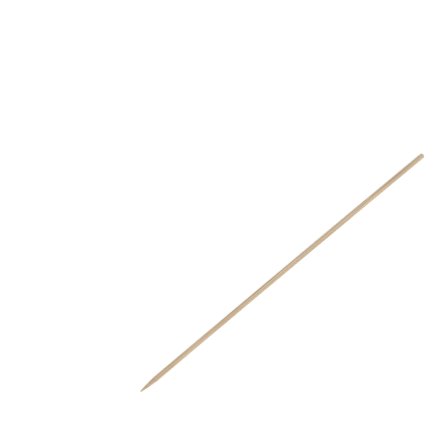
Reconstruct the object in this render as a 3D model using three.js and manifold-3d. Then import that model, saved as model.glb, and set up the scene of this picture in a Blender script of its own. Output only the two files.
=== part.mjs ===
// A bamboo skewer for grilling: one round stick, sawn square at the butt and ground to a point.
// Millimetres. The stick lies along X, from the centre of the butt's sawn face at the origin to the
// point at +X. +Z is up, and the slight natural bow lies level, in the XY plane.
//
// The solid is made the way the stick is. A split strip of bamboo is drawn through a round die, which
// leaves a nearly round section with fine ridges along the fibres. The stick is then sawn to length,
// tumbled, which breaks the sawn edge, and its other end is turned against a grinding wheel. So the
// drawn stick is an extrusion, the tumbled edge and the ground point are one turned envelope, and the
// skewer is what the two have in common, bent along its natural bow.

import * as THREE from "three";
import { mergeVertices } from "three/addons/utils/BufferGeometryUtils.js";
import Module from "manifold-3d";

// Driving dimensions
const LENGTH = 250;
const DIAMETER = 3;
const OVALITY = 0.06; // widest diameter less narrowest
const POINT_LENGTH = 13;
const POINT_FULLNESS = 0.7; // 1 is a straight cone, less is a fuller, bullet-like point
const TIP_DIAMETER = 0.36; // what the wheel leaves at the very end
const TIP_ROUND_LENGTH = 0.16;
const BUTT_BEVEL = 0.14; // edge broken by tumbling, along the stick
const BUTT_BEVEL_DEPTH = 0.1; // and inwards
const BOW = 0.36; // rise of the bow at mid-length

// Fibre ridges left by the die
const RIDGES = 17;
const RIDGE_HEIGHT = 0.034;
const FLAT_DEPTH = 0.045; // shallow flat on the side of the strip that was the culm's inner face
const FLAT_ANGLE = THREE.MathUtils.degToRad(205);

// Fineness of the mesh
const POINTS_PER_RIDGE = 4;
const SHAFT_STEPS = 36;
const POINT_STEPS = 14;
const TIP_STEPS = 3;
const ENVELOPE_SIDES = 68;

const RADIUS = DIAMETER / 2;
const TIP_RADIUS = TIP_DIAMETER / 2;
const ENVELOPE_CLEARANCE = 0.2; // the envelope stands this far off the shaft between its two ends

const wasm = await Module();
wasm.setup();

/** A closed geometry as a manifold-3d solid. */
function solidFrom(geometry) {
  const bare = geometry.clone();
  bare.deleteAttribute("normal");
  bare.deleteAttribute("uv");
  const merged = mergeVertices(bare, 1e-5);
  return new wasm.Manifold(
    new wasm.Mesh({
      numProp: 3,
      vertProperties: new Float32Array(merged.attributes.position.array),
      triVerts: new Uint32Array(merged.index.array),
    }),
  );
}

/** A manifold-3d solid as a geometry that three.js can draw. */
function geometryFrom(solid) {
  const mesh = solid.getMesh();
  const geometry = new THREE.BufferGeometry();
  geometry.setAttribute("position", new THREE.BufferAttribute(mesh.vertProperties, mesh.numProp));
  geometry.setIndex(new THREE.BufferAttribute(mesh.triVerts, 1));
  return geometry;
}

/** How far the drawn section reaches at an angle: an oval with one shallow flat and fine ridges. */
function sectionRadius(angle) {
  const oval = RADIUS + (OVALITY / 4) * Math.cos(2 * angle);
  const fromFlat = Math.cos(angle - FLAT_ANGLE);
  const flat = fromFlat > 0 ? (RADIUS - FLAT_DEPTH) / fromFlat : Infinity;
  const ridge = (RIDGE_HEIGHT / 2) * (Math.cos(RIDGES * angle) - 1);
  return Math.min(oval, flat) + ridge;
}

/** The drawn stick: the ridged section carried straight along X. */
function drawnStick() {
  const count = RIDGES * POINTS_PER_RIDGE;
  const outline = [];
  for (let i = 0; i < count; i++) {
    const angle = (2 * Math.PI * i) / count;
    const reach = sectionRadius(angle);
    outline.push(new THREE.Vector2(reach * Math.cos(angle), reach * Math.sin(angle)));
  }
  const stick = new THREE.ExtrudeGeometry(new THREE.Shape(outline), {
    depth: LENGTH,
    steps: SHAFT_STEPS,
    bevelEnabled: false,
  });
  // The shape's x and y become the part's Y and Z, and the depth its X.
  const alongX = new THREE.Matrix4().makeBasis(
    new THREE.Vector3(0, 1, 0),
    new THREE.Vector3(0, 0, 1),
    new THREE.Vector3(1, 0, 0),
  );
  return stick.applyMatrix4(alongX);
}

/** Radius of the ground point at a distance back from the end of the stick. */
function pointRadius(fromEnd) {
  return TIP_RADIUS + (RADIUS - TIP_RADIUS) * Math.pow(fromEnd / POINT_LENGTH, POINT_FULLNESS);
}

/** Distance back from the end at which the point's curve, run on past the shaft, has this radius. */
function pointReach(radius) {
  return POINT_LENGTH * Math.pow((radius - TIP_RADIUS) / (RADIUS - TIP_RADIUS), 1 / POINT_FULLNESS);
}

/** The turned envelope: bevelled butt, clearance round the shaft, ground point and rounded tip. */
function groundEnvelope() {
  const clear = RADIUS + ENVELOPE_CLEARANCE;
  const bevelRun = BUTT_BEVEL * (1 + ENVELOPE_CLEARANCE / BUTT_BEVEL_DEPTH);
  const wheelStart = pointReach(clear);
  const profile = [
    new THREE.Vector2(0, 0),
    new THREE.Vector2(RADIUS - BUTT_BEVEL_DEPTH, 0),
    new THREE.Vector2(clear, bevelRun),
  ];
  for (let i = 0; i < POINT_STEPS; i++) {
    const fromEnd = wheelStart + (TIP_ROUND_LENGTH - wheelStart) * (i / (POINT_STEPS - 1));
    profile.push(new THREE.Vector2(pointRadius(fromEnd), LENGTH - fromEnd));
  }
  const neck = pointRadius(TIP_ROUND_LENGTH);
  for (let i = 1; i < TIP_STEPS; i++) {
    const turn = (Math.PI / 2) * (i / TIP_STEPS);
    profile.push(new THREE.Vector2(neck * Math.cos(turn), LENGTH - TIP_ROUND_LENGTH * (1 - Math.sin(turn))));
  }
  profile.push(new THREE.Vector2(0, LENGTH));
  return new THREE.LatheGeometry(profile, ENVELOPE_SIDES).rotateZ(-Math.PI / 2);
}

/** Moves each ring of the straight stick sideways onto the bow, which leaves both ends on the X axis. */
function bend(geometry) {
  const position = geometry.attributes.position;
  for (let i = 0; i < position.count; i++) {
    const share = (2 * position.getX(i)) / LENGTH - 1;
    position.setY(i, position.getY(i) - BOW * (1 - share * share));
  }
  return geometry;
}

/** The whole skewer as one solid. */
function skewerGeometry() {
  const ground = solidFrom(drawnStick()).intersect(solidFrom(groundEnvelope()));
  const geometry = bend(geometryFrom(ground)).toNonIndexed();
  geometry.computeVertexNormals();
  return geometry;
}

const bamboo = new THREE.MeshStandardMaterial({
  color: new THREE.Color().setRGB(0.8, 0.68, 0.52, THREE.SRGBColorSpace),
  roughness: 0.62,
  metalness: 0,
});

const skewer = new THREE.Mesh(skewerGeometry(), bamboo);
skewer.name = "skewer_stick";

const part = new THREE.Group();
part.add(skewer);

export default part;
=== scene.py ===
"""The looks of one bamboo skewer, in metres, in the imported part's own frame.

The stick lies along X with its sawn butt at the origin and its ground point at +X. It is lofted
again over the CAD solid, with the finer relief that the drawing die, the saw and the grinding wheel
leave. Its material is solid: fibre bundles run through the whole stick, so they show as streaks along
the shaft, as long arches where the wheel cut through them and as dots on the sawn end.
"""

import math

import bpy
import numpy as np
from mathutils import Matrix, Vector


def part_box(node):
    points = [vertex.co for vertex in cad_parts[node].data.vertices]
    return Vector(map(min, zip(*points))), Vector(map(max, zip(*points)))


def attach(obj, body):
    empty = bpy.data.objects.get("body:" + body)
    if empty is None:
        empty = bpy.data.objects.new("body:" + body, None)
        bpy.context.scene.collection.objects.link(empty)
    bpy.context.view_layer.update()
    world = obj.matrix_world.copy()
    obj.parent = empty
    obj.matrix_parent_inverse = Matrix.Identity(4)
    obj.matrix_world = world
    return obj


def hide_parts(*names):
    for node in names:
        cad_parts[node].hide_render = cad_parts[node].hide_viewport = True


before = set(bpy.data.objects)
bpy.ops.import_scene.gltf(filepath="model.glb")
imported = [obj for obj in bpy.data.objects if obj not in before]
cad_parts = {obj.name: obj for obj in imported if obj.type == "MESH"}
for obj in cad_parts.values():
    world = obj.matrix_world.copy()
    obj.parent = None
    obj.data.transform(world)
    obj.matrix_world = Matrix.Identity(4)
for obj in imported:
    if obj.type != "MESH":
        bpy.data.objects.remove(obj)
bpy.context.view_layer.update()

MM = 0.001
FULL_TURN = 2 * math.pi
NODE = "skewer_stick"

# The drawn section, as in the solid
OVALITY = 0.06 * MM  # widest diameter less narrowest
FLAT_DEPTH = 0.045 * MM
FLAT_ANGLE = math.radians(205)
FLAT_SPREAD = 0.5  # cosine past which the flat's line is followed no further
RIDGES = 17
RIDGE_HEIGHT = 0.026 * MM  # lower than the solid's, because the grooves between them add to it

# The overall sizes, from the solid's box, whose height is the section's narrowest diameter
node_low, node_high = (Vector(corner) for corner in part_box(NODE))
LENGTH = node_high.x - node_low.x
RADIUS = (node_high.z - node_low.z) / 2 + OVALITY / 4
BOW = -(node_low.y + node_high.y)

# The two ends, close to the solid's but with a slightly blunter tip
POINT_LENGTH = 13 * MM
POINT_FULLNESS = 0.7  # 1 is a straight cone, less is a fuller one
TIP_RADIUS = 0.25 * MM
TIP_ROUND_LENGTH = 0.24 * MM
BEVEL = 0.15 * MM
BEVEL_DEPTH = 0.1 * MM

# Fineness of the mesh
SIDES = 208
BEVEL_RINGS = 9
BUTT_ZONE = 2.5 * MM
BUTT_RINGS = 15
SHAFT_RINGS = 235
POINT_MARGIN = 2 * MM
POINT_RINGS = 111
TIP_RINGS = 6
CAP_RINGS = 22

# Fine grooves between the fibres
GROOVES = 120
GROOVE_MIDDLE = (-0.1, 1.1)  # share of the length
GROOVE_LENGTH = (25 * MM, 190 * MM)
GROOVE_WIDTH = (0.035 * MM, 0.13 * MM)
GROOVE_DEPTH = (0.004 * MM, 0.02 * MM)
GROOVE_WANDER = 0.07  # radians round the stick
GROOVE_PERIODS = (0.9, 0.37)  # share of the length, as the other periods
GROOVE_FADE = 5 * MM
DEEPEST_GROOVE = 0.034 * MM
GROOVE_LEFT = 0.3  # share of a groove's depth that is still open on the ground point
THINNEST_GROOVED = 0.3 * MM  # radius of the point below which its grooves fade
THICKNESS_DRIFT = 0.012 * MM
THICKNESS_PERIODS = (0.6, 0.23)

# Marks of the saw, the tumbler and the wheel. Waves round the stick are (how many, how strong, how far
# they turn along the point, where they start), with angles in radians.
SAW_WAVE = 0.008 * MM
SAW_PITCH = 0.69 * MM
SAW_SWEEP = 5.7 * MM
SAW_CURVE = 1.5  # radians of a wave by which the sweep carries it sideways
SAW_RIM = 1 / 3  # share of the face's radius over which the waves rise from its edge
BEVEL_WAVES = ((3, 0.3, 0, 0.4), (7, 0.2, 0, 2.0))
EDGE_CHIPS = 9
CHIP_WIDTH = (0.03, 0.09)  # radians round the stick
CHIP_DEPTH = (0.03 * MM, 0.07 * MM)
CHIP_LENGTH = (0.15 * MM, 0.7 * MM)
WHEEL_CHATTER = 0.008 * MM
WHEEL_WAVES = ((3, 1.0, 260, 0.0), (5, 0.6, -90, 1.3))
CHATTER_FADE = 0.2  # share of the point, from the tip
GROUND_DEPTH = 0.05 * MM  # cut at which the surface looks fully ground

# The grain's pattern, in millimetres. Each noise has its own size along the stick and across it.
CULM_PLACE = Vector((470, 14, 7))  # where in the culm's pattern the stick's butt lies
GRAIN_TWIST = 0.12  # radians from butt to tip
GRAIN_WANDER = 0.25
GRAIN_PERIODS = ((1.7, 0.6), (1.3, 0.45))
BUNDLE_SPACING = 0.46
VESSEL_SPACING = 0.13
SCATTER = 0.85  # how unevenly bundles and vessels lie, where 0 is a square grid
FIBRE_DRIFT = 0.5
DRIFT_SIZE = (38, 1.6)
TONE_SIZE = (60, 2.2)
HAIRLINE_SIZE = (14, 0.075)
FIBRE_SIZE = (30, 0.045)
RELIEF_SIZE = (22, 0.05)
WHEEL_MARK_SIZE = (0.05, 3.0)
POLISH_SIZE = (9, 0.4)
BUMP_HEIGHT = 0.012 * MM

# The image that an export bakes the pattern to: bands of the shaft, and the sawn face above them
BAKE_BANDS = 4
BAKE_ROW = 0.22
BAKE_MARGIN = 0.02
BAKE_DISC = 0.45  # the sawn face's radius, as a share of the strip above the bands

# The camera, placed so that both ends of the stick fall where the photograph has them
VIEW_AZIMUTH = math.radians(132.91)
VIEW_ELEVATION = math.radians(50)
VIEW_DISTANCE = 3.0
VIEW_WIDTH = 0.26981  # what the picture is wide at the aim
AIM = Vector((0.12247, -0.05206, 0.0))

# Light: the world and the key lamp together bring a white surface that faces the lamp about to white.
WORLD_LEVEL = 0.6
KEY_LEVEL = 0.42
KEY_AZIMUTH = math.radians(155)
KEY_ELEVATION = math.radians(45)
KEY_SOFTNESS = math.radians(38)
FLOOR_SIZE = 16.0
FLOOR_ALBEDO = 0.86
FLOOR_SHADOW = 0.42  # share of the floor's own shading that the camera sees, the rest is plain white
FLOOR_WHITE = 1.06  # what the bare floor shows, just past white, so that noise leaves it clean
FLOOR_LIGHT = WORLD_LEVEL + KEY_LEVEL * math.sin(KEY_ELEVATION)  # what falls on the level floor

rng = np.random.default_rng(11)


def smoothstep(low, high, value):
    """0 up to low, 1 from high, and a smooth rise between them."""
    share = np.clip((value - low) / (high - low), 0, 1)
    return share * share * (3 - 2 * share)


def slow_wave(x, periods, amplitude):
    """A smooth random wander along the stick, as a sum of long waves with periods in shares of it."""
    total = np.zeros_like(x)
    for period in periods:
        total += np.sin(FULL_TURN * (x / (period * LENGTH) + rng.random()))
    return amplitude * total / len(periods)


def waves_round(waves, angle, share=0.0):
    """The sum of some waves round the stick, at a share of the way along the point."""
    return sum(strong * np.sin(many * angle + turn * share + start) for many, strong, turn, start in waves)


def angle_apart(angle, other):
    """The signed angle from one place round the stick to another."""
    return (angle - other + math.pi) % FULL_TURN - math.pi


# The stick's shape


def stations():
    """Places of the rings along the stick: close together at the butt's edge and on the ground point."""
    shoulder = LENGTH - POINT_LENGTH - POINT_MARGIN
    bevel_turn = np.linspace(0, math.pi / 2, BEVEL_RINGS)
    tip_turn = np.linspace(0, math.pi / 2, TIP_RINGS + 2)[1:-1]
    bevel = BEVEL * (1 - np.cos(bevel_turn))
    butt = np.linspace(BEVEL, BUTT_ZONE, BUTT_RINGS + 1)[1:]
    shaft = np.linspace(BUTT_ZONE, shoulder, SHAFT_RINGS + 1)[1:]
    point = np.linspace(shoulder, LENGTH - TIP_ROUND_LENGTH, POINT_RINGS + 1)[1:]
    tip = LENGTH - TIP_ROUND_LENGTH * (1 - np.sin(tip_turn))
    return np.concatenate([bevel, butt, shaft, point, tip])


def drawn_radius(angle):
    """The section left by the die: an oval with one shallow flat and soft ridges."""
    oval = RADIUS + OVALITY / 4 * np.cos(2 * angle)
    flat = (RADIUS - FLAT_DEPTH) / np.maximum(np.cos(angle - FLAT_ANGLE), FLAT_SPREAD)
    ridges = RIDGE_HEIGHT / 2 * (np.cos(RIDGES * angle) - 1)
    return np.minimum(oval, flat) + ridges


def groove_depth(x, angle):
    """Depth of the fine grooves between the fibres, each of which starts, wanders and runs out."""
    depth = np.zeros((x.size, angle.size))
    for _ in range(GROOVES):
        middle = rng.uniform(*GROOVE_MIDDLE) * LENGTH
        reach = rng.uniform(*GROOVE_LENGTH) / 2
        width = rng.uniform(*GROOVE_WIDTH) / RADIUS
        deep = rng.uniform(*GROOVE_DEPTH)
        path = rng.uniform(0, FULL_TURN) + slow_wave(x, GROOVE_PERIODS, GROOVE_WANDER)
        along = smoothstep(middle - reach, middle - reach + GROOVE_FADE, x)
        along *= 1 - smoothstep(middle + reach - GROOVE_FADE, middle + reach, x)
        depth += deep * along * np.exp(-((angle_apart(angle, path) / width) ** 2))
    return DEEPEST_GROOVE * np.tanh(depth / DEEPEST_GROOVE)


def point_radius(x, angle):
    """The cone that the wheel leaves, fuller than a straight one, with its faint flats and chatter."""
    share = np.clip((LENGTH - x) / POINT_LENGTH, 0, None)
    cone = TIP_RADIUS + (RADIUS - TIP_RADIUS) * share**POINT_FULLNESS
    fade = smoothstep(0, CHATTER_FADE, share)
    chatter = WHEEL_CHATTER * fade * waves_round(WHEEL_WAVES, angle, share)
    rounding = np.sqrt(1 - np.clip(1 - (LENGTH - x) / TIP_ROUND_LENGTH, 0, 1) ** 2)
    return (cone + chatter) * rounding


def butt_edge_loss(x, angle):
    """What sawing and tumbling take off the butt's edge: an uneven bevel and a few torn fibres."""
    inwards = np.clip(1 - x / BEVEL, 0, 1)
    loss = BEVEL_DEPTH * (1 + waves_round(BEVEL_WAVES, angle)) * (1 - np.sqrt(1 - inwards**2))
    for _ in range(EDGE_CHIPS):
        apart = angle_apart(angle, rng.uniform(0, FULL_TURN))
        across = np.exp(-((apart / rng.uniform(*CHIP_WIDTH)) ** 2))
        loss = loss + rng.uniform(*CHIP_DEPTH) * across * np.exp(-x / rng.uniform(*CHIP_LENGTH))
    return loss


def bow_at(x):
    """How far the stick's natural bow carries it sideways: nothing at both ends, most in the middle."""
    return -BOW * (1 - (2 * x / LENGTH - 1) ** 2)


def ring_angles():
    """Angles round the axis, from underneath, where the bake's seam lies."""
    return np.arange(SIDES) / SIDES * FULL_TURN - math.pi / 2


def shaft_rings():
    """The rings from butt to tip as (places, radii, how far the wheel cut, how deep the grooves)."""
    x = stations()[:, None]
    angle = ring_angles()[None, :]
    grooves = groove_depth(x, angle)
    thickness = slow_wave(x, THICKNESS_PERIODS, THICKNESS_DRIFT)
    drawn = drawn_radius(angle) + thickness - grooves - butt_edge_loss(x, angle)
    wheel = point_radius(x, angle)
    open_grooves = GROOVE_LEFT * grooves * smoothstep(0, THINNEST_GROOVED, wheel)
    ground = smoothstep(0, GROUND_DEPTH, drawn - wheel)
    return x, np.minimum(drawn, wheel - open_grooves), ground, grooves / DEEPEST_GROOVE


def saw_face(places):
    """How far the sawn face lies inside the butt's end: the fine, slightly curved waves of the saw."""
    sweep = SAW_CURVE * np.sin(FULL_TURN * places[..., 1] / SAW_SWEEP)
    return SAW_WAVE * (1 + np.sin(FULL_TURN * places[..., 0] / SAW_PITCH + sweep)) / 2


def stick_points():
    """All vertices: the rings, the tip's pole, the cap's rings from the edge inwards, and its centre."""
    x, radius, ground, grooves = shaft_rings()
    angle = ring_angles()
    y, z = radius * np.cos(angle), radius * np.sin(angle)
    shaft = np.stack([np.broadcast_to(x, y.shape), y, z], axis=-1).reshape(-1, 3)
    share = (1 - np.arange(1, CAP_RINGS) / CAP_RINGS)[:, None]
    cap_yz = np.stack([share * y[0], share * z[0]], axis=-1)
    inset = saw_face(cap_yz) * np.minimum(1, (1 - share) / SAW_RIM)
    cap = np.concatenate([inset[..., None], cap_yz], axis=-1).reshape(-1, 3)
    pole = np.array([[LENGTH, 0, 0]])
    centre = np.array([[SAW_WAVE / 2, 0, 0]])
    places = np.concatenate([shaft, pole, cap, centre])
    inner = len(cap) + 1
    ground = np.concatenate([ground.ravel(), [1], np.zeros(inner)])
    grooves = np.concatenate([grooves.ravel(), [0], np.zeros(inner)])
    sawn = np.concatenate([np.zeros(len(shaft) + 1), np.ones(inner)])
    sawn[:SIDES] = 1
    return places, ground, grooves, sawn, x.size


def ring_quads(outer, inner):
    """Quads between two rings, given the number of each one's first vertex."""
    side = np.arange(SIDES)
    after = (side + 1) % SIDES
    return np.stack([outer + side, outer + after, inner + after, inner + side], axis=1)


def fan(ring, centre):
    """Triangles from a ring to the vertex in its middle."""
    side = np.arange(SIDES)
    return np.stack([ring + side, ring + (side + 1) % SIDES, np.full(SIDES, centre)], axis=1)


def stick_faces(rings):
    """Quads along the shaft, the fan at the tip's pole, quads over the sawn face, and its middle's fan."""
    pole = rings * SIDES
    cap_rings = [0] + [pole + 1 + ring * SIDES for ring in range(CAP_RINGS - 1)]
    shaft = [ring_quads(ring * SIDES, (ring + 1) * SIDES) for ring in range(rings - 1)]
    cap = [ring_quads(outer, inner)[:, ::-1] for outer, inner in zip(cap_rings, cap_rings[1:])]
    middle = fan(cap_rings[-1], pole + 1 + (CAP_RINGS - 1) * SIDES)[:, ::-1]
    return np.concatenate(shaft), fan(pole - SIDES, pole), np.concatenate(cap), middle


def grain_places(places):
    """Where each vertex lies in the culm, in millimetres: the fibres wander a little through the stick."""
    x, y, z = places.T
    turn = GRAIN_TWIST * x / LENGTH
    wander_y, wander_z = (slow_wave(x, periods, GRAIN_WANDER) for periods in GRAIN_PERIODS)
    across = (y * np.cos(turn) - z * np.sin(turn)) / MM + wander_y
    up = (y * np.sin(turn) + z * np.cos(turn)) / MM + wander_z
    return np.stack([x / MM, across, up], axis=1) + np.array(CULM_PLACE)


def band_map(x, turn):
    """The shaft's corners on the bake's image: a few long bands, one above another."""
    band = np.minimum(x.mean(axis=1, keepdims=True) * BAKE_BANDS // LENGTH, BAKE_BANDS - 1)
    along = x * BAKE_BANDS / LENGTH - band
    u = BAKE_MARGIN + along * (1 - 2 * BAKE_MARGIN)
    v = (band + BAKE_MARGIN + turn * (1 - 2 * BAKE_MARGIN)) * BAKE_ROW
    return np.stack([u, v], axis=-1)


def disc_map(y, z):
    """The sawn face's corners on the bake's image: a disc in the strip that the bands leave free."""
    spare = 1 - BAKE_BANDS * BAKE_ROW
    reach = BAKE_DISC * spare / RADIUS
    return np.stack([spare / 2 + reach * y, 1 - spare / 2 + reach * z], axis=-1)


def bake_places(places, faces):
    """Each face corner's place on the bake's image, in the faces' own order."""
    shaft, pole_fan, *cap = faces
    rings = len(shaft) // SIDES
    side = np.arange(SIDES)[:, None]
    quad_turn = np.tile((side + (0, 1, 1, 0)) / SIDES, (rings, 1))
    fan_turn = (side + (0, 1, 0.5)) / SIDES
    maps = [band_map(places[shaft][..., 0], quad_turn), band_map(places[pole_fan][..., 0], fan_turn)]
    maps += [disc_map(places[part][..., 1], places[part][..., 2]) for part in cap]
    return np.concatenate([part.reshape(-1, 2) for part in maps])


def add_attribute(mesh, name, kind, values):
    """Gives each vertex a value that the material reads by name."""
    attribute = mesh.attributes.new(name, kind, "POINT")
    field = "vector" if kind == "FLOAT_VECTOR" else "value"
    attribute.data.foreach_set(field, np.asarray(values, np.float32).ravel())


def make_stick():
    """The stick as one closed mesh, with what its material needs to know about each vertex."""
    places, ground, grooves, sawn, rings = stick_points()
    faces = stick_faces(rings)
    grain = grain_places(places)
    bake = bake_places(places, faces)
    places[:, 1] += bow_at(places[:, 0])
    mesh = bpy.data.meshes.new("bamboo_stick")
    mesh.from_pydata(places.tolist(), [], [face for part in faces for face in part.tolist()])
    mesh.uv_layers.new(name="OFBake").uv.foreach_set("vector", bake.astype(np.float32).ravel())
    add_attribute(mesh, "grain", "FLOAT_VECTOR", grain)
    add_attribute(mesh, "ground", "FLOAT", ground)
    add_attribute(mesh, "groove", "FLOAT", grooves)
    add_attribute(mesh, "sawn", "FLOAT", sawn)
    mesh.materials.append(bamboo_material())
    mesh.shade_smooth()
    mesh.update()
    stick = bpy.data.objects.new("bamboo_stick", mesh)
    bpy.context.scene.collection.objects.link(stick)
    return stick


# Materials


class Shader:
    """Adds nodes to the tree of one material or world and wires them up."""

    def __init__(self, owner):
        owner.use_nodes = True
        self.tree = owner.node_tree
        self.tree.nodes.clear()

    def add(self, kind, inputs=(), **settings):
        """A node with its settings, its inputs filled by name or number from values or other sockets."""
        made = self.tree.nodes.new(kind)
        for name, value in settings.items():
            setattr(made, name, value)
        for name, value in dict(inputs).items():
            if isinstance(value, bpy.types.NodeSocket):
                self.tree.links.new(value, made.inputs[name])
            else:
                made.inputs[name].default_value = value
        return made

    def attribute(self, name, output="Fac"):
        return self.add("ShaderNodeAttribute", attribute_name=name).outputs[output]

    def stretched(self, vector, size):
        """The grain's places with one pattern unit set to this size along and across the stick."""
        along, across = size
        scale = (1 / along, 1 / across, 1 / across)
        return self.add("ShaderNodeVectorMath", {0: vector, 1: scale}, operation="MULTIPLY").outputs[0]

    def noise(self, vector, size, detail=2.0, output="Fac"):
        inputs = {"Vector": self.stretched(vector, size), "Scale": 1.0, "Detail": detail}
        return self.add("ShaderNodeTexNoise", inputs).outputs[output]

    def cells(self, section, spacing):
        """Distance from the nearest of a pattern of spots across the culm, in units of their spacing."""
        inputs = {"Vector": section, "Scale": 1 / spacing, "Randomness": SCATTER}
        return self.add("ShaderNodeTexVoronoi", inputs, voronoi_dimensions="2D").outputs["Distance"]

    def span(self, value, low, high, to_low=0.0, to_high=1.0):
        """value mapped smoothly from low..high to to_low..to_high."""
        inputs = {"Value": value, "From Min": low, "From Max": high, "To Min": to_low, "To Max": to_high}
        return self.add("ShaderNodeMapRange", inputs, interpolation_type="SMOOTHSTEP").outputs[0]

    def math(self, operation, first, second):
        return self.add("ShaderNodeMath", {0: first, 1: second}, operation=operation).outputs[0]

    def choose(self, share, first, second):
        """One value where share is 0, the other where it is 1."""
        return self.add("ShaderNodeMix", {0: share, 2: first, 3: second}, data_type="FLOAT").outputs[0]

    def mix(self, share, first, second, blend="MIX"):
        """One colour where share is 0, the other where it is 1."""
        inputs = {0: share, 6: first, 7: second}
        return self.add("ShaderNodeMix", inputs, data_type="RGBA", blend_type=blend).outputs[2]

    def shaded(self, colour, value):
        """The colour, as many times lighter as value says."""
        grey = self.add("ShaderNodeCombineColor", {0: value, 1: value, 2: value}).outputs[0]
        return self.mix(1.0, colour, grey, "MULTIPLY")

    def background_rays(self):
        """1 for rays that show the background: seen by the camera, or in gloss or through glass."""
        rays = self.add("ShaderNodeLightPath").outputs
        seen = self.math("MAXIMUM", rays["Is Camera Ray"], rays["Is Glossy Ray"])
        return self.math("MAXIMUM", seen, rays["Is Transmission Ray"])


def linear(red, green, blue):
    """A colour written in sRGB, 0 to 255, as the shader's linear values."""
    values = [c / 255 for c in (red, green, blue)]
    return (*[c / 12.92 if c <= 0.04045 else ((c + 0.055) / 1.055) ** 2.4 for c in values], 1.0)


STRAW = linear(225, 205, 175)
TAN = linear(208, 182, 146)
BUNDLE = linear(164, 127, 87)
HAIRLINE = linear(122, 85, 50)
PORE = linear(84, 56, 34)
GROUND_TAN = linear(188, 163, 129)
SAWN_TAN = linear(200, 170, 132)

# How far each part of the pattern reaches and how strongly it shows. A fade is a range of the noise, or of
# the distance from a spot's middle in units of the spacing, and a share is how much of a colour comes in.
TONE_FADE = (0.35, 0.65)
STREAK_FADE = (0.12, 0.42)
STREAK_SHARE = 0.7
DOT_FADE = (0.2, 0.32)
DOT_SHARE = 0.85
VESSEL_FADE = (0.16, 0.3)
VESSEL_ZONE = (0.12, 0.24)  # of a bundle, within which its vessels lie
VESSEL_SHARE = 0.75
VESSELS_UNCUT = 0.35  # how much of them shows where they aren't sawn
HAIRLINE_FADE = (0.60, 0.74)
HAIRLINE_SHARE = 0.55
# painted shade: how far the fine grooves are darkened towards the bundles' brown, as shade in them
GROOVE_PAINTED_SHADE = 0.45
FIBRE_FADE = (0.3, 0.7)
FIBRE_LIGHT = (0.88, 1.1)  # how many times lighter the darkest and the palest fibres are
WALL_LIGHT = (1.04, 0.95)  # the same for the culm's inner side and its outer side
GROUND_SHARE = 0.45
SAWN_SHARE = 0.3
POLISH_FADE = (0.3, 0.7)
POLISH_ROUGHNESS = (0.5, 0.66)
CUT_ROUGHNESS = 0.16  # added where the stick is ground or sawn
BUMP_STRENGTH = 0.7


def culm_section(s, grain):
    """Places across the culm, in millimetres, where fibres drift apart and together along the stick."""
    axes = s.add("ShaderNodeSeparateXYZ", {0: grain}).outputs
    flat = s.add("ShaderNodeCombineXYZ", {0: axes[1], 1: axes[2]}).outputs[0]
    drift = s.noise(grain, DRIFT_SIZE, 1.0, "Color")
    inputs = {0: drift, 1: (FIBRE_DRIFT, FIBRE_DRIFT, 0), 2: flat}
    return s.add("ShaderNodeVectorMath", inputs, operation="MULTIPLY_ADD").outputs[0]


def wall_tone(s, grain):
    """The culm's wall is denser and darker towards its outer side, which lies opposite the flat."""
    outwards = -Vector((0, math.cos(FLAT_ANGLE), math.sin(FLAT_ANGLE)))
    depth = s.add("ShaderNodeVectorMath", {0: grain, 1: outwards}, operation="DOT_PRODUCT")
    middle, reach = outwards.dot(CULM_PLACE), RADIUS / MM
    return s.span(depth.outputs["Value"], middle - reach, middle + reach, *WALL_LIGHT)


def with_bundles(s, colour, grain, sawn):
    """Brown fibre bundles and their vessels: soft streaks along the stick, crisp dots where it is sawn."""
    section = culm_section(s, grain)
    bundle = s.cells(section, BUNDLE_SPACING)
    streaks = s.span(bundle, *STREAK_FADE, STREAK_SHARE, 0.0)
    dots = s.span(bundle, *DOT_FADE, DOT_SHARE, 0.0)
    colour = s.mix(s.choose(sawn, streaks, dots), colour, BUNDLE)
    vessels = s.span(s.cells(section, VESSEL_SPACING), *VESSEL_FADE, VESSEL_SHARE, 0.0)
    vessels = s.math("MULTIPLY", vessels, s.span(bundle, *VESSEL_ZONE, 1.0, 0.0))
    return s.mix(s.math("MULTIPLY", vessels, s.choose(sawn, VESSELS_UNCUT, 1.0)), colour, PORE)


def with_fibres(s, colour, grain):
    """Dark hairlines, painted shade in the grooves, and the fine light and dark of single fibres."""
    hairlines = s.span(s.noise(grain, HAIRLINE_SIZE, 1.0), *HAIRLINE_FADE, 0.0, HAIRLINE_SHARE)
    colour = s.mix(hairlines, colour, HAIRLINE)
    # painted shade: the grooves darkened with the bundles' brown, the deeper the darker
    colour = s.mix(s.math("MULTIPLY", s.attribute("groove"), GROOVE_PAINTED_SHADE), colour, BUNDLE)
    fibres = s.span(s.noise(grain, FIBRE_SIZE, 3.0), *FIBRE_FADE, *FIBRE_LIGHT)
    return s.shaded(colour, s.math("MULTIPLY", fibres, wall_tone(s, grain)))


def bamboo_relief(s, grain, ground):
    """Bumps finer than the mesh: fibres on the drawn shaft, rings from the wheel on the point."""
    fibres = s.noise(grain, RELIEF_SIZE, 3.0)
    wheel_marks = s.noise(grain, WHEEL_MARK_SIZE)
    height = s.choose(ground, fibres, wheel_marks)
    inputs = {"Strength": BUMP_STRENGTH, "Distance": BUMP_HEIGHT, "Height": height}
    return s.add("ShaderNodeBump", inputs).outputs[0]


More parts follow.
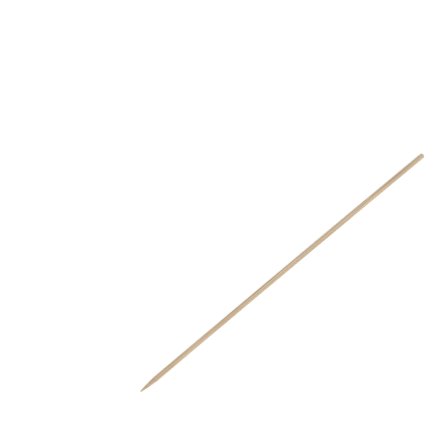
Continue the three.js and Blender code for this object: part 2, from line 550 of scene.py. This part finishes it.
def bamboo_material():
    """Dry, unvarnished bamboo, polished by the die and duller where it is ground or sawn."""
    material = bpy.data.materials.new("bamboo")
    s = Shader(material)
    grain = s.attribute("grain", "Vector")
    ground, sawn = s.attribute("ground"), s.attribute("sawn")
    tone = s.span(s.noise(grain, TONE_SIZE), *TONE_FADE)
    colour = with_bundles(s, s.mix(tone, STRAW, TAN), grain, sawn)
    colour = with_fibres(s, colour, grain)
    colour = s.mix(s.math("MULTIPLY", ground, GROUND_SHARE), colour, GROUND_TAN)
    colour = s.mix(s.math("MULTIPLY", sawn, SAWN_SHARE), colour, SAWN_TAN)
    polish = s.span(s.noise(grain, POLISH_SIZE), *POLISH_FADE, *POLISH_ROUGHNESS)
    cut = s.math("MAXIMUM", ground, sawn)
    roughness = s.math("ADD", polish, s.math("MULTIPLY", cut, CUT_ROUGHNESS))
    inputs = {"Base Color": colour, "Roughness": roughness, "Normal": bamboo_relief(s, grain, ground)}
    surface = s.add("ShaderNodeBsdfPrincipled", inputs)
    s.add("ShaderNodeOutputMaterial", {"Surface": surface.outputs[0]})
    return material


def floor_material():
    """White paper that lights the stick from below, and shows the camera white with a soft shadow."""
    material = bpy.data.materials.new("floor")
    s = Shader(material)
    paper = s.add("ShaderNodeBsdfDiffuse", {"Color": (*[FLOOR_ALBEDO] * 3, 1)})
    shaded = s.add("ShaderNodeBsdfDiffuse", {"Color": (*[FLOOR_SHADOW] * 3, 1)})
    plain = s.add("ShaderNodeEmission", {"Strength": FLOOR_WHITE - FLOOR_SHADOW * FLOOR_LIGHT})
    shown = s.add("ShaderNodeAddShader", {0: shaded.outputs[0], 1: plain.outputs[0]})
    inputs = {0: s.background_rays(), 1: paper.outputs[0], 2: shown.outputs[0]}
    s.add("ShaderNodeOutputMaterial", {"Surface": s.add("ShaderNodeMixShader", inputs).outputs[0]})
    return material


# Studio


def make_floor():
    """A level floor under the stick, which isn't part of the object."""
    mesh = bpy.data.meshes.new("floor")
    half, level = FLOOR_SIZE / 2, node_low.z
    corners = [(-half, -half, level), (half, -half, level), (half, half, level), (-half, half, level)]
    mesh.from_pydata(corners, [], [(0, 1, 2, 3)])
    mesh.materials.append(floor_material())
    floor = bpy.data.objects.new("floor", mesh)
    bpy.context.scene.collection.objects.link(floor)


def make_world():
    """An even white sky that is plain white where it is seen and dimmer where it lights the stick."""
    world = bpy.data.worlds.new("studio")
    s = Shader(world)
    strength = s.choose(s.background_rays(), WORLD_LEVEL, 1.0)
    sky = s.add("ShaderNodeBackground", {"Color": (1, 1, 1, 1), "Strength": strength})
    s.add("ShaderNodeOutputWorld", {"Surface": sky.outputs[0]})
    bpy.context.scene.world = world


def direction(azimuth, elevation):
    """Unit vector from the object towards an eye or lamp at these angles."""
    level = math.cos(elevation)
    return Vector((math.sin(azimuth) * level, -math.cos(azimuth) * level, math.sin(elevation)))


def make_key():
    """A large soft lamp on the camera's side of the stick."""
    lamp = bpy.data.lights.new("key", "SUN")
    lamp.energy = KEY_LEVEL * math.pi
    lamp.angle = KEY_SOFTNESS
    key = bpy.data.objects.new("key", lamp)
    key.rotation_mode = "QUATERNION"
    key.rotation_quaternion = direction(KEY_AZIMUTH, KEY_ELEVATION).to_track_quat("Z", "Y")
    bpy.context.scene.collection.objects.link(key)


def make_camera():
    """A long lens at the photograph's viewing angle."""
    lens = bpy.data.cameras.new("camera")
    lens.lens = lens.sensor_width * VIEW_DISTANCE / VIEW_WIDTH
    camera = bpy.data.objects.new("camera", lens)
    back = direction(VIEW_AZIMUTH, VIEW_ELEVATION)
    camera.location = AIM + VIEW_DISTANCE * back
    camera.rotation_mode = "QUATERNION"
    camera.rotation_quaternion = back.to_track_quat("Z", "Y")
    bpy.context.scene.collection.objects.link(camera)
    bpy.context.scene.camera = camera


bpy.context.scene.view_settings.view_transform = "Standard"
make_camera()
make_world()
make_key()
make_floor()

stick = make_stick()
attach(stick, "root")
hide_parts(NODE)
